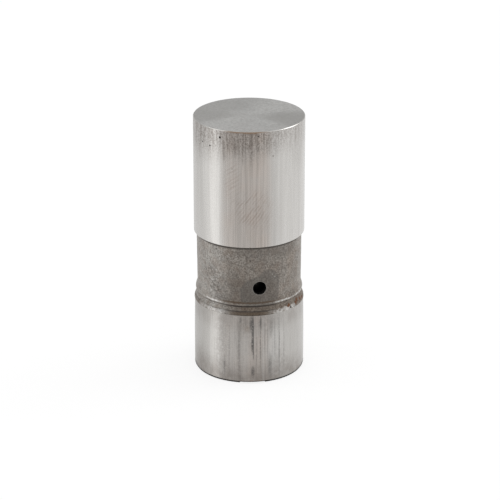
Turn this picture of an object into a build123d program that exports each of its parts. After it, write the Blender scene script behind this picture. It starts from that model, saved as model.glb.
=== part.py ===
from build123d import *
from math import sin, radians, sqrt
import os

# A hydraulic flat tappet, standing on its open end with the cam face up.
# The frame: origin at the centre of the open rim, +Z along the axis to the cam face, -Y to the
# front, where the photograph looks from, and +X to the right. Sizes are in millimetres and degrees.

# Tappet body, ground lands
guide_dia = 21.38                # runs in the engine's tappet bore
tappet_length = 51.25            # open rim to cam face
upper_land_length = 23.05        # land under the cam face
lower_land_length = 14.15        # land above the open rim
lead_length = 6.00               # top stretch of the lower land, eased towards the bead
lead_depth = 0.10                # how far the eased stretch ends below the guide diameter
cam_edge_bevel = 0.12            # broken edge round the cam face
rim_chamfer = 0.25               # chamfer round the open end
rim_chamfer_height = 0.38

# Tappet body, cast relief band with its flare, vee groove and bead
relief_depth_top = 0.53          # band under the upper land, below the guide diameter
relief_depth_low = 0.62          # band above the flare, where the casting is narrower
shoulder_fillet = 0.20           # cast corner under the upper land
flare_height = 1.60              # crest of the flare up to the plain band
flare_setback = 0.30             # crest of the flare, below the guide diameter
flare_lip_height = 0.40          # vee groove up to the crest of the flare
groove_depth = 0.60              # bottom of the vee groove, below the guide diameter
groove_round = 0.08              # radius in the bottom of the vee groove
bead_slope_height = 0.95         # upper face of the bead, down from the vee groove
bead_face_height = 0.80          # lower, rounder face of the bead
bead_face_rise = 0.20            # how far that face leans in over its height
bead_setback = 0.03              # corner of the bead, below the guide diameter

# Tappet body, oil hole and damage
oil_hole_dia = 2.60
oil_hole_height = 19.60          # above the open rim
oil_hole_angle = 11.6            # from the front towards +X
oil_hole_edge = 0.12             # worn edge round the mouth of the hole
notch_width = 4.87               # shallow notch in the open rim
notch_depth = 0.26
notch_angle = 3.6
bead_chip_r = 0.60               # chip out of the bead
bead_chip_depth = 0.22
bead_chip_height = 0.35          # above the corner of the bead
bead_chip_angle = 55.0
land_nick_r = 0.35               # nick in the lower edge of the upper land
land_nick_depth = 0.12
land_nick_angle = 1.3

# Tappet body, inside
bore_dia = 16.60                 # the plunger slides in it
foot_thickness = 6.25            # iron between the floor of the bore and the cam face
floor_fillet = 0.80
mouth_chamfer = 0.80
annulus_width = 4.40             # oil groove in the bore, behind the oil hole
annulus_depth = 0.50
annulus_slope = 0.40

# Retaining ring and its groove
ring_wire_dia = 1.30
ring_bite = 0.45                 # how deep the ring sits in the wall of the bore
ring_inset = 3.00                # open rim to the near side of the wire
ring_gap_angle = 40.0
ring_clearance = 0.05            # to its groove and to the seat's face

# Pushrod seat
seat_clearance = 0.05            # radial, in the bore
seat_chamfer = 0.20
seat_flange_height = 4.50
socket_r = 4.05                  # cup for the 7.94 mm ball end of a pushrod
socket_sink = 0.35               # centre of the cup, in from the seat's face
socket_lead = 0.60               # chamfer round the mouth of the cup
seat_oil_dia = 1.60
spigot_dia = 12.30
spigot_length = 1.60
seat_hollow_dia = 7.00           # in the end of the spigot, over the metering disc
seat_hollow_depth = 0.40

# Metering disc
disc_clearance = 0.15            # radial, in the mouth of the plunger
disc_thickness = 0.50
disc_hole_dia = 0.90
disc_play = 0.20                 # along the axis

# Plunger
plunger_clearance = 0.02         # radial, in the bore: a running fit
plunger_chamfer = 0.30
spigot_clearance = 0.10          # radial, round the seat's spigot
reservoir_dia = 11.20
reservoir_fillet = 0.60
valve_floor = 2.60               # wall between the reservoir and the valve
waist_start = 6.70               # seat end of the plunger to its oil waist
waist_length = 6.50
waist_depth = 0.60
waist_slope = 0.50
plunger_oil_dia = 2.00
plunger_oil_angle = 191.6        # from the front towards +X

# Check valve
ball_dia = 4.76
ball_seat_gap = 0.03             # left between the ball and its conical seat
port_dia = 3.20
port_chamfer = 0.40
sheet_thickness = 0.45           # of the stamped cage
cage_flange_dia = 13.60
cage_clearance = 0.05            # radial, in the recess in the plunger's end
cage_recess_depth = 0.60
cage_bend_r = 0.50
cage_ball_clearance = 0.35       # radial, round the ball
cage_window_dia = 2.20
cage_window_count = 3
cage_crown_hole_dia = 1.20
ball_spring_room = 1.75          # top of the ball to the crown of the cage
ball_spring_dia = 3.20
ball_spring_wire = 0.25
ball_spring_turns = 3.5

# Plunger spring
spring_length = 10.50            # installed, from the cage's flange to the floor of the bore
spring_dia = 12.15
spring_wire = 0.95
spring_turns = 4.5

# Heights and radii of the body
guide_r = guide_dia / 2
bore_r = bore_dia / 2
upper_land_z = tappet_length - upper_land_length
bead_r = guide_r - bead_setback
crease_z = lower_land_length + bead_face_height
groove_z = crease_z + bead_slope_height
groove_r = guide_r - groove_depth
flare_z = groove_z + flare_lip_height
flare_r = guide_r - flare_setback
band_z = flare_z + flare_height
band_low_r = guide_r - relief_depth_low
band_top_r = guide_r - relief_depth_top
floor_z = tappet_length - foot_thickness

# Heights and radii of the parts inside, stacked up from the retaining ring
# and down from the floor of the bore
ring_wire_r = ring_wire_dia / 2
ring_z = ring_inset + ring_wire_r
ring_r = bore_r + ring_bite - ring_wire_r
seat_z = ring_inset + ring_wire_dia + ring_clearance
seat_r = bore_r - seat_clearance
spigot_r = spigot_dia / 2
plunger_z = seat_z + seat_flange_height
spigot_end_z = plunger_z + spigot_length
ledge_z = spigot_end_z + disc_thickness + disc_play
mouth_r = spigot_r + spigot_clearance
plunger_r = bore_r - plunger_clearance
flange_top_z = floor_z - spring_length
valve_z = flange_top_z - sheet_thickness
plunger_end_z = valve_z + cage_recess_depth
port_r = port_dia / 2
ball_r = ball_dia / 2
ball_contact_r = ball_r * sin(radians(45))
ball_z = valve_z - port_r - port_chamfer + 2 * ball_contact_r + ball_seat_gap
crown_z = ball_z + ball_r + ball_spring_room
cage_r = ball_r + cage_ball_clearance

ON_BASE = (Align.CENTER, Align.CENTER, Align.MIN)


def turned(outline):
    """A solid of revolution from a closed outline of radius and height."""
    return revolve(Plane.XZ * outline, Axis.Z)


def rounded(outline, radius, *corners):
    """The outline with a fillet at each of its corners that lies at a given place."""
    for corner in corners:
        vertex = min(outline.vertices(), key=lambda v: (Vector(*v) - Vector(*corner)).length)
        outline = fillet(vertex, radius)
    return outline


def to_angle(shape, angle):
    """Turns a shape made at the front by an angle towards +X."""
    return Rot(0, 0, angle) * shape


def pointing_front(tool, base_r, height):
    """Lays a tool that stands on its base on its side, to point outwards at the front."""
    return Pos(0, -base_r, height) * Rot(90, 0, 0) * tool


def front_drill(dia, height):
    """A drill from the axis out through the front, at a height."""
    return pointing_front(Cylinder(dia / 2, guide_r, align=ON_BASE), 0, height)


def front_bite(bite_r, depth, surface_r, height):
    """A ball that bites to a given depth into a turned surface at the front."""
    return Pos(0, -(surface_r + bite_r - depth), height) * Sphere(bite_r)


def body_outline():
    """Half section of the tappet body, from the open rim up the outside and down the bore."""
    bead_top_r = bead_r - bead_face_rise
    flare_mid = ((flare_r + band_low_r) / 2, (flare_z + band_z) / 2)
    annulus_r = bore_r + annulus_depth
    annulus_top_z = oil_hole_height + annulus_width / 2
    annulus_low_z = oil_hole_height - annulus_width / 2
    ring_groove_r = bore_r + ring_bite + ring_clearance
    ring_groove_half = ring_wire_r + ring_clearance

    line = Polyline(
        (bore_r + mouth_chamfer, 0),
        (guide_r - rim_chamfer, 0),
        (guide_r, rim_chamfer_height),
        (guide_r, lower_land_length - lead_length),
        (guide_r - lead_depth, lower_land_length),
        (bead_r, lower_land_length),
    )
    line += TangentArc((bead_r, lower_land_length), (bead_top_r, crease_z), tangent=(0, 1))
    line += Line((bead_top_r, crease_z), (groove_r, groove_z))
    line += TangentArc((flare_r, flare_z), (groove_r, groove_z), tangent=(0, -1))
    line += TangentArc((flare_r, flare_z), flare_mid, tangent=(0, 1))
    line += TangentArc((band_low_r, band_z), flare_mid, tangent=(0, -1))
    line += Polyline(
        (band_low_r, band_z),
        (band_top_r, upper_land_z),
        (guide_r, upper_land_z),
        (guide_r, tappet_length - cam_edge_bevel),
        (guide_r - cam_edge_bevel, tappet_length),
        (0, tappet_length),
        (0, floor_z),
        (bore_r, floor_z),
        (bore_r, annulus_top_z),
        (annulus_r, annulus_top_z - annulus_slope),
        (annulus_r, annulus_low_z + annulus_slope),
        (bore_r, annulus_low_z),
        (bore_r, ring_z + ring_groove_half),
        (ring_groove_r, ring_z + ring_groove_half),
        (ring_groove_r, ring_z - ring_groove_half),
        (bore_r, ring_z - ring_groove_half),
        (bore_r, mouth_chamfer),
        (bore_r + mouth_chamfer, 0),
    )
    outline = rounded(make_face(line), groove_round, (groove_r, groove_z))
    outline = rounded(outline, shoulder_fillet, (band_top_r, upper_land_z))
    return rounded(outline, floor_fillet, (bore_r, floor_z))


def tappet_body():
    """The one-piece iron shell, with its oil hole, rim notch and chipped edges."""
    shell = turned(body_outline())

    shell -= to_angle(front_drill(oil_hole_dia, oil_hole_height), oil_hole_angle)
    edge_base_r = (band_low_r + band_top_r) / 2 - oil_hole_edge
    edge_height = guide_r - edge_base_r
    edge_tool = Cone(oil_hole_dia / 2, oil_hole_dia / 2 + edge_height, edge_height, align=ON_BASE)
    shell -= to_angle(pointing_front(edge_tool, edge_base_r, oil_hole_height), oil_hole_angle)

    notch = Box(notch_width, guide_r, notch_depth, align=(Align.CENTER, Align.MAX, Align.MIN))
    shell -= to_angle(notch, notch_angle)

    chip_z = lower_land_length + bead_chip_height
    shell -= to_angle(front_bite(bead_chip_r, bead_chip_depth, bead_r, chip_z), bead_chip_angle)
    shell -= to_angle(front_bite(land_nick_r, land_nick_depth, guide_r, upper_land_z), land_nick_angle)
    return shell


def retaining_ring():
    """An open ring of round wire with rounded ends, its gap at the back."""
    wire = Plane.XZ * Pos(ring_r, ring_z) * Circle(ring_wire_r)
    ring = revolve(wire, Axis.Z, 360 - ring_gap_angle)
    end = Pos(ring_r, 0, ring_z) * Sphere(ring_wire_r)
    ring += end
    ring += Rot(0, 0, 360 - ring_gap_angle) * end
    return Rot(0, 0, 90 + ring_gap_angle / 2) * ring


def pushrod_seat():
    """A hardened cup on a spigot, drilled for oil."""
    outline = make_face(
        Polyline(
            (0, seat_z),
            (seat_r - seat_chamfer, seat_z),
            (seat_r, seat_z + seat_chamfer),
            (seat_r, plunger_z),
            (spigot_r, plunger_z),
            (spigot_r, spigot_end_z),
            (seat_hollow_dia / 2, spigot_end_z),
            (seat_hollow_dia / 2, spigot_end_z - seat_hollow_depth),
            (0, spigot_end_z - seat_hollow_depth),
            (0, seat_z),
        )
    )
    seat = turned(outline)
    mouth_r = sqrt(socket_r ** 2 - socket_sink ** 2)
    seat -= Pos(0, 0, seat_z + socket_sink) * Sphere(socket_r)
    lead = Cone(mouth_r + socket_lead, mouth_r, socket_lead, align=ON_BASE)
    seat -= Pos(0, 0, seat_z) * lead
    seat_height = seat_flange_height + spigot_length
    seat -= Pos(0, 0, seat_z) * Cylinder(seat_oil_dia / 2, seat_height, align=ON_BASE)
    return seat


def metering_disc():
    """A thin plate with a small hole, loose between the seat and the plunger."""
    disc = Cylinder(mouth_r - disc_clearance, disc_thickness, align=ON_BASE)
    disc -= Cylinder(disc_hole_dia / 2, disc_thickness, align=ON_BASE)
    return Pos(0, 0, spigot_end_z) * disc


def plunger():
    """A hollow ground plunger: mouth, reservoir, valve port, oil waist and recessed end."""
    reservoir_r = reservoir_dia / 2
    reservoir_end_z = valve_z - valve_floor
    waist_z = plunger_z + waist_start
    waist_end_z = waist_z + waist_length
    waist_r = plunger_r - waist_depth
    recess_r = cage_flange_dia / 2 + cage_clearance

    line = Polyline(
        (mouth_r, plunger_z),
        (plunger_r - plunger_chamfer, plunger_z),
        (plunger_r, plunger_z + plunger_chamfer),
        (plunger_r, waist_z),
        (waist_r, waist_z + waist_slope),
        (waist_r, waist_end_z - waist_slope),
        (plunger_r, waist_end_z),
        (plunger_r, plunger_end_z - plunger_chamfer),
        (plunger_r - plunger_chamfer, plunger_end_z),
        (recess_r, plunger_end_z),
        (recess_r, valve_z),
        (port_r + port_chamfer, valve_z),
        (port_r, valve_z - port_chamfer),
        (port_r, reservoir_end_z),
        (reservoir_r, reservoir_end_z),
        (reservoir_r, ledge_z),
        (mouth_r, ledge_z),
        (mouth_r, plunger_z),
    )
    hollow = turned(rounded(make_face(line), reservoir_fillet, (reservoir_r, reservoir_end_z)))
    waist_mid_z = (waist_z + waist_end_z) / 2
    return hollow - to_angle(front_drill(plunger_oil_dia, waist_mid_z), plunger_oil_angle)


def check_ball():
    """The ball that closes the plunger's port."""
    return Pos(0, 0, ball_z) * Sphere(ball_r)


def check_ball_cage():
    """A stamped cap round the ball, with a flange, side windows and a hole in its crown."""
    outer_r = cage_r + sheet_thickness
    flange_r = cage_flange_dia / 2
    top_z = crown_z + sheet_thickness
    line = Polyline(
        (cage_r, valve_z),
        (flange_r, valve_z),
        (flange_r, flange_top_z),
        (outer_r, flange_top_z),
        (outer_r, top_z),
        (0, top_z),
        (0, crown_z),
        (cage_r, crown_z),
        (cage_r, valve_z),
    )
    sharp = make_face(line)
    bent = rounded(sharp, cage_bend_r, (outer_r, flange_top_z), (cage_r, crown_z))
    bent = rounded(bent, cage_bend_r + sheet_thickness, (cage_r, valve_z), (outer_r, top_z))
    cage = turned(bent)

    window = front_drill(cage_window_dia, ball_z + ball_r / 2)
    for index in range(cage_window_count):
        cage -= to_angle(window, index * 360 / cage_window_count)
    cage -= Pos(0, 0, crown_z) * Cylinder(cage_crown_hole_dia / 2, sheet_thickness, align=ON_BASE)
    return cage


def coil_spring(outer_dia, wire_dia, turns, start_z, end_z):
    """An open coil with both ends ground flat, between two heights."""
    length = end_z - start_z
    coil = Helix(pitch=length / turns, height=length, radius=(outer_dia - wire_dia) / 2)
    section = Plane(origin=coil @ 0, z_dir=coil % 0) * Circle(wire_dia / 2)
    wire = sweep(section, path=coil)
    ends = Cylinder(outer_dia, length, align=ON_BASE)
    return Pos(0, 0, start_z) * (wire & ends)


def check_ball_spring():
    """A light coil that rests on the shoulder of the ball and bears on the cage's crown."""
    inner_r = ball_spring_dia / 2 - ball_spring_wire
    ball_shoulder_z = ball_z + sqrt(ball_r ** 2 - inner_r ** 2)
    start_z = ball_shoulder_z + ball_seat_gap
    return coil_spring(ball_spring_dia, ball_spring_wire, ball_spring_turns, start_z, crown_z)


def plunger_spring():
    """The coil between the cage's flange and the floor of the bore."""
    return coil_spring(spring_dia, spring_wire, spring_turns, flange_top_z, floor_z)


PARTS = [
    tappet_body,
    retaining_ring,
    pushrod_seat,
    metering_disc,
    plunger,
    check_ball,
    check_ball_cage,
    check_ball_spring,
    plunger_spring,
]

os.makedirs("parts", exist_ok=True)
for make in PARTS:
    export_step(make(), f"parts/{make.__name__}.step")
    print(make.__name__)
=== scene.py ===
# %% [markdown]
# # Dressing a hydraulic flat tappet
#
# A tappet is the small iron piston that rides on a camshaft lobe and lifts an engine's pushrod.
# This one stands on its open end: a flat ground face on top, two bright ground lands, and
# between them a rough cast band with an oil hole, a flare, a fine groove and a rusty bead.
# The pieces that work and fit come as a fixed frame. This notebook gives them their looks.

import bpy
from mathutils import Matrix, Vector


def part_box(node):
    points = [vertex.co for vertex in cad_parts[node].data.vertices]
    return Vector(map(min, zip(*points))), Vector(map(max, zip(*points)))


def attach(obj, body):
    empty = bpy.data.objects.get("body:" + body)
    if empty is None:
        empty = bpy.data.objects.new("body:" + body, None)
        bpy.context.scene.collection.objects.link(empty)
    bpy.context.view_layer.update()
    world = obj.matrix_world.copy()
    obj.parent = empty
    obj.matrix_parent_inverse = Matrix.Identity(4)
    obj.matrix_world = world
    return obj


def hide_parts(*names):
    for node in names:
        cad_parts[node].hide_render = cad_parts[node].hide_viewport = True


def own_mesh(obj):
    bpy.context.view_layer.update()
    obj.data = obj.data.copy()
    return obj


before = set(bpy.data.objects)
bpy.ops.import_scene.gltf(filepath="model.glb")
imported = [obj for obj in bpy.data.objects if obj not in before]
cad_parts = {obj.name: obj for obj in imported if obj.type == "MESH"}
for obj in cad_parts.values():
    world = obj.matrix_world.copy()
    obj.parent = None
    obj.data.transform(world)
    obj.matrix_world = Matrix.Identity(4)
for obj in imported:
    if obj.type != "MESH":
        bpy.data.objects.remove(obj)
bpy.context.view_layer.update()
print("nodes:", sorted(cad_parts))

# %% [markdown]
# ## Working units and small helpers
#
# Blender works in metres and a tappet is small, so every size here is written in millimetres
# times MM. Angles round the tappet are degrees from the front (-Y) towards +X. An operator acts
# on all that is selected, so each step starts by deselecting everything.

# %% Units and helpers for selecting
from math import acos, asin, cos, dist, hypot, pi, radians, sin, sqrt
from random import Random

import bpy
from mathutils import Vector

MM = 0.001
MERGE_GAP = 0.0005 * MM


def make_active(piece):
    """Selects one piece alone, so that operators act on it."""
    bpy.ops.object.select_all(action="DESELECT")
    piece.select_set(True)
    bpy.context.view_layer.objects.active = piece


def added(name, primitive, **settings):
    """A new primitive, alone in the selection, with its name on its mesh too."""
    bpy.ops.object.select_all(action="DESELECT")
    primitive(**settings)
    piece = bpy.context.object
    piece.name = piece.data.name = name
    return piece


def edit_all():
    """Opens edit mode with everything selected."""
    bpy.ops.object.mode_set(mode="EDIT")
    bpy.ops.mesh.select_all(action="SELECT")


def edit_faces(piece, wanted):
    """Opens edit mode with only the faces selected whose centre and normal a test wants."""
    make_active(piece)
    bpy.ops.object.mode_set(mode="EDIT")
    bpy.ops.mesh.select_mode(type="FACE")
    bpy.ops.mesh.select_all(action="DESELECT")
    bpy.ops.object.mode_set(mode="OBJECT")
    for face in piece.data.polygons:
        face.select = bool(wanted(face.center, face.normal))
    bpy.ops.object.mode_set(mode="EDIT")


def close_up(piece):
    """Merges doubles, drops what is loose, turns the faces outwards and leaves edit mode."""
    bpy.ops.mesh.select_all(action="SELECT")
    bpy.ops.mesh.remove_doubles(threshold=MERGE_GAP)
    bpy.ops.mesh.delete_loose()
    bpy.ops.mesh.select_all(action="SELECT")
    bpy.ops.mesh.normals_make_consistent(inside=False)
    bpy.ops.object.mode_set(mode="OBJECT")
    print(piece.name, "faces:", len(piece.data.polygons))


def apply_modifier(piece, kind, **settings):
    """Adds a modifier with its settings and applies it at once."""
    make_active(piece)
    modifier = piece.modifiers.new(kind.title(), kind)
    for setting, value in settings.items():
        setattr(modifier, setting, value)
    bpy.ops.object.modifier_apply(modifier=modifier.name)


def place_at(radius, angle, height):
    """A point at a radius, an angle from the front towards +X, and a height."""
    return Vector((radius * sin(radians(angle)), -radius * cos(radians(angle)), height))


# %% [markdown]
# ## Drawing a half section
#
# A turned piece is a half section spun round an axis. The section is a list of radius and
# height pairs. Small helpers keep it short: an arc that leaves its start along the axis and
# leans over to its end, an eased corner, and extra points along the long straight stretches.

# %% Helpers for the half section
def leaning_arc(start, end, count):
    """Points of an arc that leaves start along the axis and leans over to end, both included."""
    lean, rise = end[0] - start[0], end[1] - start[1]
    arc_r = (lean ** 2 + rise ** 2) / (2 * lean)
    whole = acos(1 - lean / arc_r)
    side = 1 if rise > 0 else -1
    points = []
    for i in range(count + 1):
        a = whole * i / count
        points.append((start[0] + arc_r * (1 - cos(a)), start[1] + side * abs(arc_r) * sin(a)))
    return points


def part_way(here, other, reach):
    """A point at a short reach towards another one, but at most half way."""
    share = min(reach / dist(here, other), 0.5)
    return [h + (o - h) * share for h, o in zip(here, other)]


def eased(outline, corner, reach, count=4):
    """The closed outline with one corner eased over a short reach along both neighbours."""
    i = min(range(len(outline)), key=lambda k: dist(outline[k], corner))
    before, here, after = outline[i - 1], outline[i], outline[(i + 1) % len(outline)]
    pulls = (part_way(here, before, reach), here, part_way(here, after, reach))
    bend = []
    for step in range(count + 1):
        t = step / count
        weights = ((1 - t) ** 2, 2 * t * (1 - t), t ** 2)
        bend.append(tuple(sum(w * p[k] for w, p in zip(weights, pulls)) for k in (0, 1)))
    return outline[:i] + bend + outline[i + 1:]


def filled(outline, spacing):
    """The closed outline with extra points, spaced as a function of radius and height says."""
    points = []
    for here, after in zip(outline, outline[1:] + outline[:1]):
        middle = [(h + n) / 2 for h, n in zip(here, after)]
        count = max(1, round(dist(here, after) / spacing(*middle)))
        for step in range(count):
            points.append(tuple(h + (n - h) * step / count for h, n in zip(here, after)))
    return points


# %% [markdown]
# ## Spinning it, as on a lathe
#
# A plane is merged to a single vertex, the vertex is extruded from point to point, and the wire
# is spun a full turn about Z. A spin leaves its last column on top of its first, and a heap of
# points and bare edges on the axis. So doubles are merged and what is loose is deleted, and only
# then are the normals recalculated.

# %% The lathe
def lathe(name, outline, steps):
    """A solid of revolution from a closed outline of radius and height."""
    start = (outline[0][0], 0, outline[0][1])
    piece = added(name, bpy.ops.mesh.primitive_plane_add, size=MM, location=start)
    bpy.ops.object.transform_apply(location=True)
    edit_all()
    bpy.ops.mesh.select_mode(type="VERT")
    bpy.ops.mesh.merge(type="CENTER")
    for here, after in zip(outline, outline[1:] + outline[:1]):
        shift = (after[0] - here[0], 0, after[1] - here[1])
        bpy.ops.mesh.extrude_region_move(TRANSFORM_OT_translate={"value": shift})
    bpy.ops.mesh.select_all(action="SELECT")
    bpy.ops.mesh.spin(steps=steps, angle=2 * pi, center=(0, 0, 0), axis=(0, 0, 1))
    close_up(piece)
    return piece


# %% [markdown]
# ## The iron shell
#
# The real shell is an iron casting, turned and then ground on its two lands and its top. The
# lands keep a straight outline while the band between them stays as cast. The frame's shell
# could stay, but its band needs a true cast skin and its edges need true chips, so it is spun
# again here on the same section, with many rows where the skin is rough.

# %% Sizes of the shell
shell_low, shell_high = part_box("tappet_body")
GUIDE_R = shell_high.x
LENGTH = shell_high.z
RIM_CHAMFER, RIM_CHAMFER_HEIGHT = 0.25 * MM, 0.38 * MM
LEAD_Z, LEAD_DEPTH = 8.15 * MM, 0.10 * MM
BEAD_R, BEAD_LOW_Z = GUIDE_R - 0.03 * MM, 14.15 * MM
CREASE_R, CREASE_Z = BEAD_R - 0.20 * MM, 14.95 * MM
GROOVE_R, GROOVE_Z = GUIDE_R - 0.60 * MM, 15.90 * MM
FLARE_R, FLARE_Z = GUIDE_R - 0.30 * MM, 16.30 * MM
BAND_LOW_R, BAND_LOW_Z = GUIDE_R - 0.62 * MM, 17.90 * MM
BAND_TOP_R, UPPER_LAND_Z = GUIDE_R - 0.53 * MM, 28.20 * MM
CAM_BEVEL = 0.12 * MM
BORE_R, BORE_END_Z = 8.30 * MM, 45.00 * MM
MOUTH_CHAMFER = 0.80 * MM
ANNULUS_DEPTH, ANNULUS_SLOPE = 0.50 * MM, 0.40 * MM
ANNULUS_LOW_Z, ANNULUS_TOP_Z = 17.40 * MM, 21.80 * MM
RING_GROOVE_DEPTH = 0.50 * MM
RING_GROOVE_LOW_Z, RING_GROOVE_TOP_Z = 2.95 * MM, 4.35 * MM
WALL_MIDDLE_R = 9.60 * MM
SHELL_STEPS, SHELL_CREASE = 320, radians(32)
INSIDE_ROWS, SKIN_ROWS, LAND_ROWS = 2.50 * MM, 0.155 * MM, 0.90 * MM


# %% Half section of the shell
def shell_outline():
    """The closed section, from the open rim up the outside and back down the bore."""
    flare_middle = ((FLARE_R + BAND_LOW_R) / 2, (FLARE_Z + BAND_LOW_Z) / 2)
    outline = [
        (BORE_R + MOUTH_CHAMFER, 0),
        (GUIDE_R - RIM_CHAMFER, 0),
        (GUIDE_R, RIM_CHAMFER_HEIGHT),
        (GUIDE_R, LEAD_Z),
        (GUIDE_R - LEAD_DEPTH, BEAD_LOW_Z),
        *leaning_arc((BEAD_R, BEAD_LOW_Z), (CREASE_R, CREASE_Z), 6),
        *leaning_arc((FLARE_R, FLARE_Z), (GROOVE_R, GROOVE_Z), 5)[::-1],
        *leaning_arc((FLARE_R, FLARE_Z), flare_middle, 6)[1:],
        *leaning_arc((BAND_LOW_R, BAND_LOW_Z), flare_middle, 6)[::-1][1:],
        (BAND_TOP_R, UPPER_LAND_Z),
        (GUIDE_R, UPPER_LAND_Z),
        (GUIDE_R, LENGTH - CAM_BEVEL),
        (GUIDE_R - CAM_BEVEL, LENGTH),
        (0, LENGTH),
        (0, BORE_END_Z),
        (BORE_R, BORE_END_Z),
        (BORE_R, ANNULUS_TOP_Z),
        (BORE_R + ANNULUS_DEPTH, ANNULUS_TOP_Z - ANNULUS_SLOPE),
        (BORE_R + ANNULUS_DEPTH, ANNULUS_LOW_Z + ANNULUS_SLOPE),
        (BORE_R, ANNULUS_LOW_Z),
        (BORE_R, RING_GROOVE_TOP_Z),
        (BORE_R + RING_GROOVE_DEPTH, RING_GROOVE_TOP_Z),
        (BORE_R + RING_GROOVE_DEPTH, RING_GROOVE_LOW_Z),
        (BORE_R, RING_GROOVE_LOW_Z),
        (BORE_R, MOUTH_CHAMFER),
    ]
    eases = [
        ((GUIDE_R - RIM_CHAMFER, 0), 0.10),
        ((GUIDE_R, RIM_CHAMFER_HEIGHT), 0.12),
        ((GUIDE_R, LEAD_Z), 1.60),
        ((BEAD_R, BEAD_LOW_Z), 0.10),
        ((CREASE_R, CREASE_Z), 0.12),
        ((GROOVE_R, GROOVE_Z), 0.08),
        ((BAND_TOP_R, UPPER_LAND_Z), 0.20),
        ((GUIDE_R, UPPER_LAND_Z), 0.04),
        ((GUIDE_R, LENGTH - CAM_BEVEL), 0.03),
        ((GUIDE_R - CAM_BEVEL, LENGTH), 0.03),
        ((BORE_R, BORE_END_Z), 0.80),
    ]
    for corner, reach in eases:
        outline = eased(outline, corner, reach * MM)
    return outline


def shell_spacing(radius, height):
    """Rows lie close where the skin is rough, and far apart on the ground lands and inside."""
    if radius < BORE_R + MOUTH_CHAMFER:
        return INSIDE_ROWS
    if BEAD_LOW_Z - 0.2 * MM < height < UPPER_LAND_Z - 0.1 * MM:
        return SKIN_ROWS
    return LAND_ROWS


def outside(spot):
    """True on the outer side of the wall."""
    return hypot(spot.x, spot.y) > WALL_MIDDLE_R


tappet_shell = lathe("tappet_shell", filled(shell_outline(), shell_spacing), SHELL_STEPS)

# %% [markdown]
# ## The cast skin
#
# The band, the flare and the bead were never machined, so their skin is slightly bumpy: fine
# sand grain over a broad unevenness. Bump in the material alone would leave their outline dead
# straight, so the mesh itself is displaced. A vertex group holds the displacement off the
# ground lands, and keeps it small in the narrow groove.

# %% Displace the cast skin
CAST_SKIN = "cast skin"
cast_group = tappet_shell.vertex_groups.new(name=CAST_SKIN)
SKIN_WEIGHTS = [
    (BEAD_LOW_Z + 0.02 * MM, CREASE_Z, 1.00),
    (CREASE_Z, GROOVE_Z - 0.10 * MM, 0.55),
    (GROOVE_Z - 0.10 * MM, FLARE_Z - 0.10 * MM, 0.30),
    (FLARE_Z - 0.10 * MM, FLARE_Z + 0.50 * MM, 0.80),
    (FLARE_Z + 0.50 * MM, UPPER_LAND_Z - 0.25 * MM, 0.65),
]
for low_z, high_z, weight in SKIN_WEIGHTS:
    rough = [v.index for v in tappet_shell.data.vertices if outside(v.co) and low_z < v.co.z <= high_z]
    cast_group.add(rough, weight, "REPLACE")


def skin_texture(name, grain, contrast):
    """A cloud texture whose lumps are about as wide as the grain."""
    texture = bpy.data.textures.new(name, "CLOUDS")
    texture.noise_scale = grain
    texture.noise_depth = 2
    texture.contrast = contrast
    return texture


for name, grain, height in [("sand grain", 0.45 * MM, 0.035 * MM), ("uneven casting", 2.2 * MM, 0.07 * MM)]:
    apply_modifier(
        tappet_shell,
        "DISPLACE",
        texture=skin_texture(name, grain, 1.2),
        texture_coords="LOCAL",
        vertex_group=CAST_SKIN,
        strength=height,
        mid_level=0.5,
    )
print("rough skin displaced on", CAST_SKIN)

# %% [markdown]
# ## Drilling, notching and chipping
#
# The oil hole is drilled through the band, a shallow notch is filed in the rim, and years of
# handling left chips on the bead and small pits in the upper land. Each of these is the space
# of a tool, so each is modelled as a solid and taken away from the shell in one Boolean. A drill
# is a turned shape with a flared shoulder, and a chip is a lump with an uneven skin.

# %% The oil hole's drill
HOLE_R, HOLE_Z, HOLE_ANGLE = 1.30 * MM, 19.60 * MM, 11.6
HOLE_EDGE, HOLE_EASE = 0.12 * MM, 0.10 * MM
DRILL_SPARE, DRILL_STEPS = 1.00 * MM, 64
skin_r = (BAND_LOW_R + BAND_TOP_R) / 2
drill_low, drill_top = BORE_R - DRILL_SPARE, GUIDE_R + DRILL_SPARE
drill_outline = [
    (0, drill_low),
    (HOLE_R, drill_low),
    (HOLE_R, skin_r - HOLE_EDGE),
    (HOLE_R + drill_top - skin_r + HOLE_EDGE, drill_top),
    (0, drill_top),
]
oil_drill = lathe("oil drill", eased(drill_outline, drill_outline[2], HOLE_EASE), DRILL_STEPS)
oil_drill.rotation_euler = (pi / 2, 0, radians(HOLE_ANGLE))
oil_drill.location.z = HOLE_Z
cutters = [oil_drill]

# %% The notch in the rim
NOTCH_WIDTH, NOTCH_DEPTH, NOTCH_ANGLE = 4.87 * MM, 0.26 * MM, 3.6
NOTCH_REACH, NOTCH_EDGE = 6.00 * MM, 0.12 * MM
notch = added("rim notch", bpy.ops.mesh.primitive_cube_add, size=1, location=(0, -GUIDE_R, 0))
notch.scale = (NOTCH_WIDTH, NOTCH_REACH, 2 * NOTCH_DEPTH)
bpy.ops.object.transform_apply(location=True, scale=True)
edit_all()
bpy.ops.mesh.bevel(offset=NOTCH_EDGE, segments=3)
bpy.ops.object.mode_set(mode="OBJECT")
notch.rotation_euler.z = radians(NOTCH_ANGLE)
cutters.append(notch)


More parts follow.
